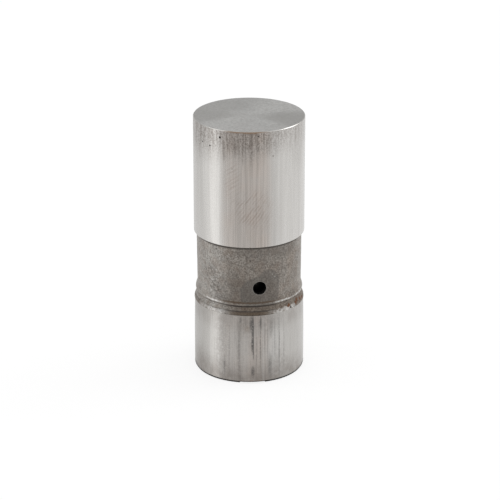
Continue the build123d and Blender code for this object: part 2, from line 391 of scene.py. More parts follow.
# %% Chips, nicks and pits
def chip(name, angle, height, radius, depth, size, squeeze=(1, 1, 1)):
    """A lump with an uneven skin that bites into a surface of a radius. Sizes are in millimetres."""
    lump = added(name, bpy.ops.mesh.primitive_ico_sphere_add, subdivisions=4, radius=size * MM)
    lump.scale = squeeze
    bpy.ops.object.transform_apply(scale=True)
    texture = skin_texture(name, size * 0.9 * MM, 1.5)
    apply_modifier(lump, "DISPLACE", texture=texture, texture_coords="LOCAL", strength=size * 0.5 * MM)
    lump.rotation_euler.z = radians(angle)
    lump.location = place_at(radius + (size * squeeze[1] - depth) * MM, angle, height * MM)
    cutters.append(lump)


chip("bead chip", 54.6, 14.42, BEAD_R, 0.24, 0.42, (1.5, 1, 0.85))
chip("bead nick", 48.8, 14.50, BEAD_R, 0.16, 0.20, (1.0, 1, 1.5))
chip("land nick", 1.3, 28.22, GUIDE_R, 0.12, 0.30, (1.0, 1, 0.7))
# Each pit has an angle, a height, the radius of its chip and of its dark spot, and a darkness
LAND_PITS = [
    (-30.7, 49.79, 0.20, 0.20, 1.0),
    (-43.4, 47.71, 0.17, 0.17, 1.0),
    (9.4, 50.40, 0.16, 0.15, 0.75),
    (-54.9, 47.99, 0.12, 0.14, 1.0),
]
for index, (angle, height, size, *_) in enumerate(LAND_PITS):
    chip(f"land pit {index}", angle, height, GUIDE_R, 0.10, size)

# %% Worn places along the bead
wear = Random(11)
WORN_PLACES, CHIPPED_FROM, CHIPPED_TO = 26, 30, 64
for index in range(WORN_PLACES):
    angle = -180 + (index + wear.uniform(-0.3, 0.3)) * 360 / WORN_PLACES
    size = wear.uniform(0.10, 0.22)
    height = BEAD_LOW_Z / MM + wear.uniform(-0.05, 0.25)
    if not CHIPPED_FROM < angle < CHIPPED_TO:
        chip(f"bead wear {index}", angle, height, BEAD_R, size * 0.45, size, (wear.uniform(1, 2.4), 1, 0.8))

# %% Take the tools away from the shell
bpy.ops.object.select_all(action="DESELECT")
for tool in cutters:
    tool.select_set(True)
bpy.context.view_layer.objects.active = oil_drill
bpy.ops.object.transform_apply(location=True, rotation=True, scale=True)
bpy.ops.object.join()
apply_modifier(tappet_shell, "BOOLEAN", object=oil_drill, operation="DIFFERENCE", solver="EXACT")
bpy.data.objects.remove(oil_drill)
make_active(tappet_shell)
bpy.ops.object.shade_smooth_by_angle(angle=SHELL_CREASE)
print("shell faces after the cuts:", len(tappet_shell.data.polygons))

# %% [markdown]
# ## The two springs
#
# A coil spring is a round wire wound on a helix, with its ends ground flat. A curve with a round
# bevel would do, but the Screw modifier gives the coil as a mesh with even quads, whose ends are
# then capped and cut flat with Bisect, as a grinding wheel does. Bisect merges what lies close to
# its plane, and on a wire this thin its usual distance would spoil the mesh, so it gets a small one.

# %% Winding a coil
WIRE_SIDES, WIRE_CREASE = 24, radians(35)
BIG_COIL_D, BIG_WIRE_D, BIG_TURNS = 12.15 * MM, 0.95 * MM, 4.5
SMALL_COIL_D, SMALL_WIRE_D, SMALL_TURNS = 3.20 * MM, 0.25 * MM, 3.5


def coil(name, outer_d, wire_d, turns, start_z, end_z, steps):
    """A wire circle screwed up the axis, capped, and ground flat at both heights."""
    wire_r = wire_d / 2
    spring = added(
        name,
        bpy.ops.mesh.primitive_circle_add,
        vertices=WIRE_SIDES,
        radius=wire_r,
        location=(outer_d / 2 - wire_r, 0, start_z),
        rotation=(pi / 2, 0, 0),
    )
    bpy.ops.object.transform_apply(location=True, rotation=True)
    apply_modifier(
        spring,
        "SCREW",
        axis="Z",
        angle=turns * 2 * pi,
        screw_offset=end_z - start_z,
        steps=round(steps * turns),
        render_steps=round(steps * turns),
        use_merge_vertices=False,
    )
    bpy.ops.object.mode_set(mode="EDIT")
    bpy.ops.mesh.select_mode(type="EDGE")
    bpy.ops.mesh.select_all(action="DESELECT")
    bpy.ops.mesh.select_non_manifold()
    bpy.ops.mesh.edge_face_add()
    bpy.ops.mesh.select_all(action="SELECT")
    bpy.ops.mesh.normals_make_consistent(inside=False)
    for height, direction in [(start_z, (0, 0, -1)), (end_z, (0, 0, 1))]:
        bpy.ops.mesh.select_all(action="SELECT")
        bpy.ops.mesh.bisect(
            plane_co=(0, 0, height),
            plane_no=direction,
            use_fill=True,
            clear_outer=True,
            threshold=MERGE_GAP,
        )
    bpy.ops.object.mode_set(mode="OBJECT")
    bpy.ops.object.shade_smooth_by_angle(angle=WIRE_CREASE)
    print(name, "faces:", len(spring.data.polygons))
    return spring


spring_low, spring_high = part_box("plunger_spring")
small_low, small_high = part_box("check_ball_spring")
big_ends, small_ends = (spring_low.z, spring_high.z), (small_low.z, small_high.z)
plunger_coil = coil("plunger_coil", BIG_COIL_D, BIG_WIRE_D, BIG_TURNS, *big_ends, steps=96)
ball_coil = coil("ball_coil", SMALL_COIL_D, SMALL_WIRE_D, SMALL_TURNS, *small_ends, steps=72)

# %% [markdown]
# ## The retaining ring
#
# An open ring of round wire snaps into a groove in the bore and keeps the plunger in. It is
# spun from a circle, short of a full turn, and each end is then rounded off by extruding the
# last loop in smaller and smaller steps, as a ball end. Spin turns clockwise for a positive
# angle, so the angle here is negative, and the gap lies at the back.

# %% Spin the ring and round its ends
ring_low, ring_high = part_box("retaining_ring")
RING_WIRE_R = (ring_high.z - ring_low.z) / 2
RING_R = ring_high.x - RING_WIRE_R
RING_Z = (ring_high.z + ring_low.z) / 2
RING_GAP, RING_SIDES, RING_STEPS = 40.0, 32, 150
ring_start = 180 + RING_GAP / 2


def ring_place(angle):
    """Centre of the wire at an angle from the front towards +X."""
    return place_at(RING_R, angle, RING_Z)


wire_ring = added(
    "wire_ring",
    bpy.ops.mesh.primitive_circle_add,
    vertices=RING_SIDES,
    radius=RING_WIRE_R,
    location=ring_place(ring_start),
    rotation=(pi / 2, 0, radians(ring_start - 90)),
)
bpy.ops.object.transform_apply(location=True, rotation=True)
edit_all()
bpy.ops.mesh.spin(steps=RING_STEPS, angle=-radians(360 - RING_GAP), center=(0, 0, 0), axis=(0, 0, 1))
bpy.ops.mesh.select_mode(type="EDGE")


def round_end(angle, way, count=7):
    """Extrudes the open loop at one end into a half ball along the wire."""
    centre = ring_place(angle)
    along = Vector((cos(radians(angle)), sin(radians(angle)), 0)) * way
    bpy.ops.mesh.select_all(action="DESELECT")
    bpy.ops.mesh.select_non_manifold()
    bpy.ops.object.mode_set(mode="OBJECT")
    for edge in wire_ring.data.edges:
        a, b = (wire_ring.data.vertices[v].co for v in edge.vertices)
        edge.select = edge.select and ((a + b) / 2 - centre).length < 2 * RING_WIRE_R
    for vertex in wire_ring.data.vertices:
        vertex.select = vertex.select and (vertex.co - centre).length < 2 * RING_WIRE_R
    bpy.ops.object.mode_set(mode="EDIT")
    bulge, width = 0, 1
    for step in range(1, count + 1):
        a = pi / 2 * step / (count + 0.4)
        shift = along * RING_WIRE_R * (sin(a) - bulge)
        bpy.ops.mesh.extrude_region_move(TRANSFORM_OT_translate={"value": shift})
        here = centre + along * RING_WIRE_R * sin(a)
        bpy.ops.transform.resize(value=(cos(a) / width,) * 3, center_override=here)
        bulge, width = sin(a), cos(a)
    bpy.ops.mesh.edge_face_add()


round_end(ring_start, -1)
round_end(ring_start - RING_GAP, 1)
close_up(wire_ring)
bpy.ops.object.shade_smooth_by_angle(angle=WIRE_CREASE)

# %% [markdown]
# ## The pushrod cup
#
# Seen from underneath, the hardened cup shows inside the ring: a polished ball socket with a
# chamfered mouth and an oil hole in its middle. It is turned on the same lathe as the shell.

# %% Turn the pushrod cup
seat_low, seat_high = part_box("pushrod_seat")
SEAT_R, SEAT_Z, SEAT_TOP_Z = seat_high.x, seat_low.z, seat_high.z
SEAT_FLANGE_Z, SEAT_CHAMFER, SEAT_EASE = SEAT_Z + 4.50 * MM, 0.20 * MM, 0.06 * MM
SPIGOT_R, HOLLOW_R, HOLLOW_DEPTH = 6.15 * MM, 3.50 * MM, 0.40 * MM
CUP_R, CUP_Z = 4.05 * MM, SEAT_Z + 0.35 * MM
CUP_LEAD, CUP_OIL_R, CUP_ROWS = 0.60 * MM, 0.80 * MM, 24
SEAT_SPACING, SEAT_STEPS = 1.20 * MM, 128


def cup_outline():
    """The closed section of the cup, from its face round the spigot and back down the socket."""
    mouth_r = sqrt(CUP_R ** 2 - (CUP_Z - SEAT_Z) ** 2)
    first = asin((SEAT_Z + CUP_LEAD - CUP_Z) / CUP_R)
    last = acos(CUP_OIL_R / CUP_R)
    socket = []
    for step in range(CUP_ROWS + 1):
        a = last + (first - last) * step / CUP_ROWS
        socket.append((CUP_R * cos(a), CUP_Z + CUP_R * sin(a)))
    turned = [
        (mouth_r + CUP_LEAD, SEAT_Z),
        (SEAT_R - SEAT_CHAMFER, SEAT_Z),
        (SEAT_R, SEAT_Z + SEAT_CHAMFER),
        (SEAT_R, SEAT_FLANGE_Z),
        (SPIGOT_R, SEAT_FLANGE_Z),
        (SPIGOT_R, SEAT_TOP_Z),
        (HOLLOW_R, SEAT_TOP_Z),
        (HOLLOW_R, SEAT_TOP_Z - HOLLOW_DEPTH),
    ]
    outline = [*turned, (CUP_OIL_R, SEAT_TOP_Z - HOLLOW_DEPTH), *socket]
    for corner in turned:
        outline = eased(outline, corner, SEAT_EASE, 3)
    return outline


pushrod_cup = lathe("pushrod_cup", filled(cup_outline(), lambda radius, height: SEAT_SPACING), SEAT_STEPS)
bpy.ops.object.shade_smooth_by_angle(angle=SHELL_CREASE)

# %% [markdown]
# ## Who moves with whom
#
# The shell, the ring and the big spring belong to the body. The cup and the small spring go with the
# plunger.

# %% Ride and replace
pairs = [
    (tappet_shell, "body", "tappet_body", "ground_iron"),
    (wire_ring, "body", "retaining_ring", "spring_steel"),
    (plunger_coil, "body", "plunger_spring", "spring_steel"),
    (pushrod_cup, "plunger", "pushrod_seat", "hardened_steel"),
    (ball_coil, "plunger", "check_ball_spring", "spring_steel"),
]
for piece, body, node, slot in pairs:
    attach(piece, body)
    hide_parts(node)


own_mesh(plunger_coil)
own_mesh(ball_coil)

# %% [markdown]
# ## Mixing finishes with nodes
#
# Every finish below is a small network of nodes. A class with one short call for each kind of
# node keeps the recipes readable: a value is either a number or another node's output, and the
# class sets it or links it as needed. A recipe knows the place that its patterns read, and a
# call that is given no other place reads that one.


# %% A recipe book for node trees
class Recipe:
    """A node tree being filled, and the place that its patterns read."""

    def __init__(self, tree, place=None):
        self.tree = tree
        self.place = place

    def put(self, socket, value):
        """Gives a socket a fixed value, or a link from another node's output."""
        if isinstance(value, bpy.types.NodeSocket):
            self.tree.links.new(value, socket)
        else:
            socket.default_value = value

    def node(self, kind, feeds=(), **settings):
        """A new node with its settings, fed by (socket, value) pairs."""
        made = self.tree.nodes.new("ShaderNode" + kind)
        for setting, value in settings.items():
            setattr(made, setting, value)
        for socket, value in dict(feeds).items():
            self.put(made.inputs[socket], value)
        return made

    def maths(self, operation, *values):
        return self.node("Math", dict(enumerate(values)), operation=operation).outputs[0]

    def times(self, first, *others):
        """The product of masks and numbers."""
        for other in others:
            first = self.maths("MULTIPLY", first, other)
        return first

    def without(self, mask, whole=1.0):
        """What a mask leaves of the whole."""
        return self.maths("SUBTRACT", whole, mask)

    def vector(self, operation, *places, output="Vector", **feeds):
        """Maths on places. The output of LENGTH is a Value."""
        feeds = {**dict(enumerate(places)), **feeds}
        return self.node("VectorMath", feeds, operation=operation).outputs[output]

    def axes(self, place):
        """The X, Y and Z of a place."""
        return self.node("SeparateXYZ", {0: place}).outputs

    def turned(self, angle):
        """The recipe's place, turned so that what lies at an angle in degrees comes to the front."""
        feeds = {"Vector": self.place, "Angle": self.maths("MULTIPLY", angle, -pi / 180)}
        return self.node("VectorRotate", feeds, rotation_type="Z_AXIS").outputs[0]

    def scaled(self, scale, shift=(0, 0, 0), at=None):
        """A place stretched along each axis, and shifted to another part of the pattern."""
        feeds = {"Vector": at or self.place, "Scale": scale, "Location": shift}
        return self.node("Mapping", feeds).outputs[0]

    def noise(self, scale, detail=3.0, roughness=0.55, at=None):
        feeds = {"Vector": at or self.place, "Scale": scale, "Detail": detail, "Roughness": roughness}
        return self.node("TexNoise", feeds).outputs["Fac"]

    def wandering(self, reach, scale, at=None):
        """A place that wanders a little, so that a mark's edge is uneven."""
        feeds = {"Vector": at or self.place, "Scale": scale, "Detail": 3.0}
        drift = self.node("TexNoise", feeds).outputs["Color"]
        centred = self.vector("SUBTRACT", drift, (0.5, 0.5, 0.5))
        return self.vector("ADD", at or self.place, self.vector("SCALE", centred, Scale=reach))

    def span(self, value, low, high, to_low=0.0, to_high=1.0):
        """Maps a value smoothly from one span to another, and holds it at both ends."""
        feeds = {"Value": value, "From Min": low, "From Max": high, "To Min": to_low, "To Max": to_high}
        return self.node("MapRange", feeds, interpolation_type="SMOOTHSTEP").outputs[0]

    def choose(self, share, first, second):
        """Mixes two numbers by a share."""
        return self.node("Mix", {0: share, 2: first, 3: second}, data_type="FLOAT").outputs[0]

    def blend(self, share, under, over, how="MIX"):
        """Mixes two colours by a share."""
        feeds = {0: share, 6: under, 7: over}
        return self.node("Mix", feeds, data_type="RGBA", blend_type=how).outputs[2]

    def mask(self, name, at=None, **feeds):
        """The mask of a shared effect, fed by input names with spaces as underscores."""
        made = self.tree.nodes.new("ShaderNodeGroup")
        made.node_tree = bpy.data.node_groups[name]
        self.put(made.inputs["Position"], at or self.place)
        for label, value in feeds.items():
            self.put(made.inputs[label.replace("_", " ")], value)
        return made.outputs["Mask"]


def shared_effect(name, *inputs):
    """A node group that takes a position and named numbers and puts out a mask, still empty."""
    tree = bpy.data.node_groups.new(name, "ShaderNodeTree")
    tree.interface.new_socket(name="Position", in_out="INPUT", socket_type="NodeSocketVector")
    for label in inputs:
        tree.interface.new_socket(name=label, in_out="INPUT", socket_type="NodeSocketFloat")
    tree.interface.new_socket(name="Mask", in_out="OUTPUT", socket_type="NodeSocketFloat")
    given = tree.nodes.new("NodeGroupInput").outputs
    result = tree.nodes.new("NodeGroupOutput").inputs["Mask"]
    return Recipe(tree, given["Position"]), given, result


# %% [markdown]
# ## Shared effects
#
# Grinding, draining oil and a cam's rolling all leave marks that run up and down a tappet, so
# the first effect is streaks: noise that is squeezed round the tappet and drawn out along it.
# The second is hatch, the fine slanting lines of the centreless grinder: a wave pattern with a
# little distortion, on a place that is turned more the higher it lies. The third is a single
# mark at an angle and a height, for stains, pits and rust that sit at one known spot.

# %% Streaks
recipe, given, result = shared_effect("streaks", "Across", "Along", "Low", "High")
squeeze = recipe.node("CombineXYZ", {0: given["Across"], 1: given["Across"], 2: given["Along"]}).outputs[0]
drawn = recipe.vector("MULTIPLY", recipe.place, squeeze)
recipe.put(result, recipe.span(recipe.noise(1.0, 4.0, 0.6, drawn), given["Low"], given["High"]))

# %% Hatch
recipe, given, result = shared_effect("hatch", "Angle", "Height", "Lean", "Lines")
risen = recipe.maths("SUBTRACT", recipe.axes(recipe.place)[2], given["Height"])
slant = recipe.times(risen, given["Lean"], 180 / pi)
turned = recipe.turned(recipe.maths("SUBTRACT", given["Angle"], slant))
scale = recipe.times(given["Lines"], pi / 10)
waves = {"Vector": turned, "Scale": scale, "Distortion": 2.4, "Detail": 2.0, "Detail Scale": 1.3}
lines = recipe.node("TexWave", waves).outputs["Fac"]
strong = recipe.noise(1.1, 3.0, at=recipe.scaled((1.0, 1.0, 0.6), at=turned))
recipe.put(result, recipe.times(lines, recipe.span(strong, 0.30, 0.66)))

# %% One mark at an angle and a height
recipe, given, result = shared_effect("mark", "Angle", "Height", "Half Width", "Half Height", "Softness")
across, depth, height = recipe.axes(recipe.turned(given["Angle"]))
from_side = recipe.maths("DIVIDE", across, given["Half Width"])
from_level = recipe.maths("DIVIDE", recipe.maths("SUBTRACT", height, given["Height"]), given["Half Height"])
squares = recipe.maths("ADD", recipe.times(from_side, from_side), recipe.times(from_level, from_level))
inner = recipe.without(given["Softness"])
outer = recipe.maths("ADD", 1.0, given["Softness"])
soft = recipe.span(recipe.maths("SQRT", squares), inner, outer, 1.0, 0.0)
recipe.put(result, recipe.times(soft, recipe.maths("LESS_THAN", depth, 0.0)))

# %% [markdown]
# Three more effects are shared. Specks are tiny dark pits, one in each cell of a Voronoi pattern and only
# in some of the cells. Facing is a soft mask for one side of the tappet, because its front is warmer in
# colour than its sides and some painted light and shade lies on one side only. Level is a line all round at
# one height, for painted shade in a corner or a crest that is rubbed bright and painted with a highlight.

# %% Specks
recipe, given, result = shared_effect("specks", "Cells", "Size", "Share")
cells = recipe.node("TexVoronoi", {"Vector": recipe.place, "Scale": given["Cells"]}).outputs
dot = recipe.span(cells["Distance"], given["Size"], 0.0)
lot = recipe.node("SeparateColor", {0: cells["Color"]}).outputs[0]
recipe.put(result, recipe.times(dot, recipe.maths("LESS_THAN", lot, given["Share"])))

# %% Facing
recipe, given, result = shared_effect("facing", "Angle", "Low", "High")
flat = recipe.vector("MULTIPLY", recipe.turned(given["Angle"]), (1, 1, 0))
ahead = recipe.maths("MULTIPLY", recipe.axes(recipe.vector("NORMALIZE", flat))[1], -1.0)
recipe.put(result, recipe.span(ahead, given["Low"], given["High"]))

# %% A line at one height
recipe, given, result = shared_effect("level", "Height", "Half Height", "Softness")
off = recipe.maths("ABSOLUTE", recipe.maths("SUBTRACT", recipe.axes(recipe.place)[2], given["Height"]))
edge = recipe.maths("ADD", given["Half Height"], given["Softness"])
recipe.put(result, recipe.span(off, given["Half Height"], edge, 1.0, 0.0))
print("shared effects:", sorted(group.name for group in bpy.data.node_groups))

# %% [markdown]
# ## A finish starts the same way each time
#
# A material reads the piece's own Object coordinates, because they stay with the piece when it
# moves. They are in metres, so a Mapping node turns them into millimetres. A finish is a recipe
# that also keeps the colour as it builds up, coat over coat. Fixed values such as the anisotropy
# are set on the Principled shader itself.


# %% A finish and its coats
class Finish(Recipe):
    """A material being made: its Principled shader, and its colour so far."""

    def __init__(self, name, colour, **fixed):
        self.material = bpy.data.materials.new(name)
        self.material.use_nodes = True
        super().__init__(self.material.node_tree)
        self.place = self.scaled((1 / MM,) * 3, at=self.node("TexCoord").outputs["Object"])
        self.shader = self.tree.nodes["Principled BSDF"].inputs
        for label, value in fixed.items():
            self.shader[label.replace("_", " ")].default_value = value
        self.colour = colour

    def coat(self, over, *shares, how="MIX"):
        """Lays a colour over the one so far, by the product of some shares."""
        self.colour = self.blend(self.times(*shares), self.colour, over, how)

    def spot(self, angle, height, half_width, half_height, softness, at=None):
        """The mask of one mark."""
        sizes = {"Half_Width": half_width, "Half_Height": half_height, "Softness": softness}
        return self.mask("mark", at, Angle=angle, Height=height, **sizes)

    def stain(self, over, marks, softness, strength=1.0, at=None):
        """Lays marks (angle, height, half width, half height) of one colour.

        The strength is a number, or a mask that breaks the marks up, and a mark may have a
        strength of its own as its fifth value.
        """
        for angle, height, half_width, half_height, *own in marks:
            here = self.spot(angle, height, half_width, half_height, softness, at)
            self.coat(over, here, strength, *own)

    def line(self, over, height, half_height, softness, strength, at=None):
        """Lays a line of one colour all round the tappet."""
        here = self.mask("level", at, Height=height, Half_Height=half_height, Softness=softness)
        self.coat(over, here, strength)

    def done(self, roughness, bump=None, bump_height=0.0, bump_strength=1.0):
        """Feeds the shader the colour, the roughness and a bump of a height in millimetres."""
        self.put(self.shader["Base Color"], self.colour)
        self.put(self.shader["Roughness"], roughness)
        if bump is not None:
            feeds = {"Height": bump, "Distance": bump_height * MM, "Strength": bump_strength}
            self.put(self.shader["Normal"], self.node("Bump", feeds).outputs[0])
        return self.material


# %% [markdown]
# ## Ground iron, the two lands
#
# The lands are bright but not polished: the grinder leaves fine lines, oil and handling leave long streaks,
# and the front is a warmer brown-grey. The upper land has a cloud of dark stains hanging from its top edge,
# a patch of slanting hatch lower down and a few pits. The lower land has long dark scores, and painted
# shade towards its foot. Both share one recipe, and differ in their lists of marks. In every list, angles
# are in degrees and sizes in millimetres.

# %% Colours of the iron
BRIGHT = (0.652, 0.637, 0.615, 1)
DULL = (0.443, 0.427, 0.405, 1)
WARM_FRONT = (0.678, 0.602, 0.548, 1)
WARM_FRONT_LINE = (0.515, 0.462, 0.420, 1)
STAIN = (0.175, 0.147, 0.128, 1)
HATCH = (0.370, 0.305, 0.265, 1)
SCORE = (0.120, 0.116, 0.112, 1)
RUST_LINE = (0.300, 0.205, 0.140, 1)
PIT = (0.012, 0.011, 0.010, 1)


# %% Recipe of a ground land
def ground_land(name, streak_strength):
    """A ground land before its own marks, and the mask of its fine lines."""
    land = Finish(name, BRIGHT, Metallic=1.0)
    fine = land.mask("streaks", Across=3.4, Along=0.06, Low=0.34, High=0.66)
    broad = land.mask("streaks", Across=0.95, Along=0.03, Low=0.38, High=0.64)
    grainy = land.span(land.noise(3.0, 3.0, 0.7), 0.36, 0.64)
    patchy = land.span(land.noise(0.22), 0.38, 0.66)
    for share, strength in [(fine, streak_strength), (broad, streak_strength), (grainy, 0.14)]:
        land.coat(DULL, share, strength)
    # A warmer colour towards the front
    front = land.mask("facing", Angle=-3.0, Low=0.86, High=0.975)
    warm = land.maths("MULTIPLY_ADD", patchy, 0.35, 0.55)
    land.coat(land.blend(fine, WARM_FRONT, WARM_FRONT_LINE), front, warm)
    return land, fine


# %% Marks of the upper land
DIRT_CLOUDS = [
    (-17.0, 51.0, 3.2, 4.6, 0.44),
    (1.0, 51.0, 3.2, 5.4, 0.50),
    (20.0, 51.2, 4.4, 3.8, 0.50),
    (-40.0, 50.8, 4.6, 4.8, 0.42),
    (-72.0, 50.6, 5.0, 5.8, 0.66),
    (62.0, 49.0, 2.8, 5.5, 0.30),
]
UPPER_STREAKS = [
    (-26.5, 48.0, 0.18, 2.5),
    (-21.5, 48.4, 0.15, 0.9),
    (-14.8, 48.3, 0.20, 1.7),
    (-6.6, 47.9, 0.15, 2.9),
    (-0.4, 48.5, 0.36, 0.35),
    (2.1, 47.7, 0.17, 2.9),
    (9.4, 48.4, 0.24, 1.2),
]
# A hatched patch adds its strength, the lean of its lines, and how many lie in a millimetre
HATCHED = [
    (4.0, 35.6, 3.4, 3.6, 0.56, -0.064, 1.51),
    (-16.5, 41.4, 1.5, 4.0, 0.34, -0.137, 0.83),
]
SMALL_SPOTS = [(24.9, 46.3, 0.16, 0.18), (-17.5, 43.9, 0.14, 0.10)]

# %% The upper land
land, fine = ground_land("ground upper land", 0.26)
wander, sway = land.wandering(0.9, 0.8), land.wandering(0.3, 1.2)
hanging = land.span(land.axes(land.place)[2], 45.0, 50.8)
drip = land.mask("streaks", Across=2.7, Along=0.16, Low=0.42, High=0.64)
speckle = land.span(land.noise(3.4, 3.0, 0.65), 0.42, 0.60)
dirt = land.maths("MULTIPLY_ADD", speckle, 0.55, land.times(drip, 0.45))
land.coat(STAIN, hanging, dirt, 0.36)
land.stain(STAIN, DIRT_CLOUDS, 0.6, land.maths("MULTIPLY_ADD", dirt, 0.85, 0.15), wander)
broken = land.mask("streaks", Across=3.0, Along=1.5, Low=0.36, High=0.56)
land.stain(STAIN, UPPER_STREAKS, 0.6, land.maths("MULTIPLY_ADD", broken, 0.42, 0.12), sway)
grit = land.mask("specks", Cells=1.9, Size=0.24, Share=0.34)
land.coat(STAIN, grit, hanging, 0.6)
for *patch, lean, count in HATCHED:
    lines = land.mask("hatch", sway, Angle=patch[0], Height=patch[1], Lean=lean, Lines=count)
    land.stain(HATCH, [patch], 0.5, lines, wander)
land.stain(HATCH, [(4.0, 33.0, 4.2, 5.0)], 0.7, 0.10, wander)
land.stain(RUST_LINE, [(-3.0, LENGTH / MM, 3.6, 0.30)], 0.4, 0.8, wander)
land.stain(PIT, [(angle, height, r, r, dark) for angle, height, _, r, dark in LAND_PITS], 0.25)
land.stain(STAIN, SMALL_SPOTS, 0.5, 0.6)
upper_land = land.done(land.maths("MULTIPLY_ADD", dirt, 0.08, 0.23), fine, 0.004, 0.6)

# %% The broken edge round the cam face
edge = Finish("cam edge", BRIGHT, Metallic=1.0)
dulled = edge.span(edge.noise(0.5), 0.35, 0.65, 0.0, 0.4)
edge.coat(DULL, dulled)
edge.stain(RUST_LINE, [(-3.0, LENGTH / MM - 0.05, 3.7, 0.40)], 0.3, 0.9, edge.wandering(0.6, 0.9))
cam_edge = edge.done(edge.maths("MULTIPLY_ADD", dulled, 0.10, 0.24))

# %% Marks of the lower land
SOIL_AND_SHADE = [
    (-66.0, 2.6, 3.4, 3.4),
    (-2.0, 12.2, 1.3, 2.2),
    (-31.0, 7.0, 1.6, 8.0),
    (-11.0, 7.0, 0.45, 7.5),
    (20.5, 11.6, 1.1, 2.4),
    (33.0, 3.0, 2.0, 4.0),
]
POLISHED = [
    (-17.0, 7.4, 1.3, 3.4),
    (26.5, 8.0, 1.3, 2.6),
    (14.8, 7.0, 0.28, 6.5),
    (-4.5, 6.6, 0.8, 3.6),
]
MAIN_SCORES = [
    (3.9, 10.3, 0.20, 3.6),
    (3.3, 8.0, 0.26, 1.2),
    (2.9, 12.4, 0.36, 1.3),
    (4.5, 6.3, 0.11, 1.0),
    (3.9, 2.4, 0.27, 1.1),
]
CLEAR_SCORES = [
    (12.1, 12.6, 0.21, 1.1),
    (11.7, 8.4, 0.16, 4.8),
    (-9.0, 13.1, 0.20, 0.6),
    (22.2, 3.6, 0.34, 2.1),
    (-26.4, 3.3, 0.20, 1.9),
    (33.0, 7.2, 0.14, 6.6),
]
FAINT_SCORES = [
    (-10.6, 7.0, 0.22, 5.8),
    (23.5, 11.4, 0.30, 1.8),
    (16.6, 9.0, 0.13, 4.2),
    (19.6, 8.0, 0.12, 4.6),
    (27.5, 9.0, 0.14, 4.0),
    (-21.0, 6.5, 0.13, 5.0),
    (39.0, 7.0, 0.14, 5.5),
    (7.4, 6.5, 0.12, 5.0),
]
CRISP_SCORES = [(4.4, 10.4, 0.10, 3.3), (12.4, 12.4, 0.08, 1.3)]
# The place is squeezed by this much along the tappet, so that marks wander as long soft bends
LONG_BENDS = 0.3

# %% The lower land
land, fine = ground_land("ground lower land", 0.30)
drawn_out = land.wandering(0.24, 1.1, land.scaled((1, 1, LONG_BENDS)))
wander = land.vector("MULTIPLY", drawn_out, (1, 1, 1 / LONG_BENDS))
height = land.axes(land.place)[2]
front = land.mask("facing", Angle=0.0, Low=0.58, High=1.0)
land.coat(DULL, land.maths("MULTIPLY_ADD", front, -0.52, 0.70))
uneven = land.span(land.noise(0.55, at=wander), 0.35, 0.65, 0.75, 1.25)
# Painted shade: the land darkens towards its foot, as the table's shadow round it makes it
land.coat(STAIN, land.span(height, 6.0, 0.4), uneven, 0.50)
land.coat(STAIN, land.span(height, 9.6, 13.2), uneven, 0.26)
soil_and_shade_share = land.span(land.noise(1.6, 3.0, 0.65), 0.35, 0.62, 0.05, 0.26)
# Soil marks, with painted shade at the lower left near the foot
land.stain(STAIN, SOIL_AND_SHADE, 0.7, soil_and_shade_share, wander)
# Painted shade low on the left, near the foot
land.stain(STAIN, [(-68.0, 1.8, 3.6, 3.4)], 0.7, 0.16, wander)
land.stain(BRIGHT, POLISHED, 0.7, 0.30, wander)
scored = land.mask("streaks", Across=2.6, Along=0.14, Low=0.50, High=0.72)
land.coat(SCORE, scored, land.maths("MULTIPLY_ADD", front, 0.12, 0.08))
chatter = land.noise(2.4, at=land.scaled((1.0, 1.0, 2.0)))
land.coat(SCORE, land.span(chatter, 0.42, 0.62), front, 0.10)
broken = land.mask("streaks", Across=4.2, Along=2.4, Low=0.32, High=0.52)
for scores, depth in [(MAIN_SCORES, 0.76), (CLEAR_SCORES, 0.50), (FAINT_SCORES, 0.30)]:
    land.stain(SCORE, scores, 0.6, land.times(broken, depth), wander)
land.stain(SCORE, CRISP_SCORES, 0.4, 0.42)
land.stain(RUST_LINE, [(-2.2, 11.6, 0.5, 0.6)], 0.9, land.times(broken, 0.30), wander)
land.stain(RUST_LINE, [(3.5, 0.25, 2.6, 0.22)], 0.4, 0.6, wander)
lower_land = land.done(land.maths("MULTIPLY_ADD", scored, 0.08, 0.25), fine, 0.004, 0.6)

# %% [markdown]
# ## The cam face
#
# The top is ground with a wheel that turns about the tappet's own axis, so it reflects light in a bow tie.
# Anisotropy does that, with a tangent that runs round the axis. Three soft darker sectors of painted shade
# deepen the bow tie, with a few faint rings and a mottle over them.

# %% The cam face
GROUND_LIGHT, GROUND_DARK = (0.640, 0.637, 0.620, 1), (0.520, 0.513, 0.497, 1)
BOW_SHADE = (0.400, 0.392, 0.376, 1)
# Each sector of painted shade has its angle, how far round it fades in and is full, and its strength
BOW_SHADE_SECTORS = [(74.0, 0.80, 0.99, 0.66), (271.0, 0.82, 0.99, 0.56), (206.0, 0.58, 0.96, 0.42)]
cam = Finish("ground cam face", GROUND_LIGHT, Metallic=1.0, Anisotropic=0.62)
reach = cam.vector("LENGTH", cam.vector("MULTIPLY", cam.place, (1, 1, 0)), output="Value")
rings = cam.noise(5.0, at=cam.node("CombineXYZ", {0: reach}).outputs[0])
clouds = cam.noise(0.35, 4.0)
cam.coat(GROUND_DARK, cam.span(clouds, 0.35, 0.65, 0.0, 0.35))
cam.coat(BOW_SHADE, cam.span(rings, 0.3, 0.7, 0.0, 0.12))
cam.coat(BOW_SHADE, cam.span(cam.noise(1.7, 5.0, 0.85), 0.42, 0.60, 0.0, 0.60))
wander, outward = cam.wandering(2.4, 0.30), cam.span(reach, 0.5, 6.0)
# Painted shade: darker sectors that deepen the bow tie of the ground face
for angle, low, high, shade in BOW_SHADE_SECTORS:
    cam.coat(BOW_SHADE, cam.mask("facing", wander, Angle=angle, Low=low, High=high), outward, shade)
cam.put(cam.shader["Tangent"], cam.node("Tangent", direction_type="RADIAL", axis="Z").outputs[0])
cam_face = cam.done(cam.span(clouds, 0.3, 0.7, 0.36, 0.42), rings, 0.002, 0.5)
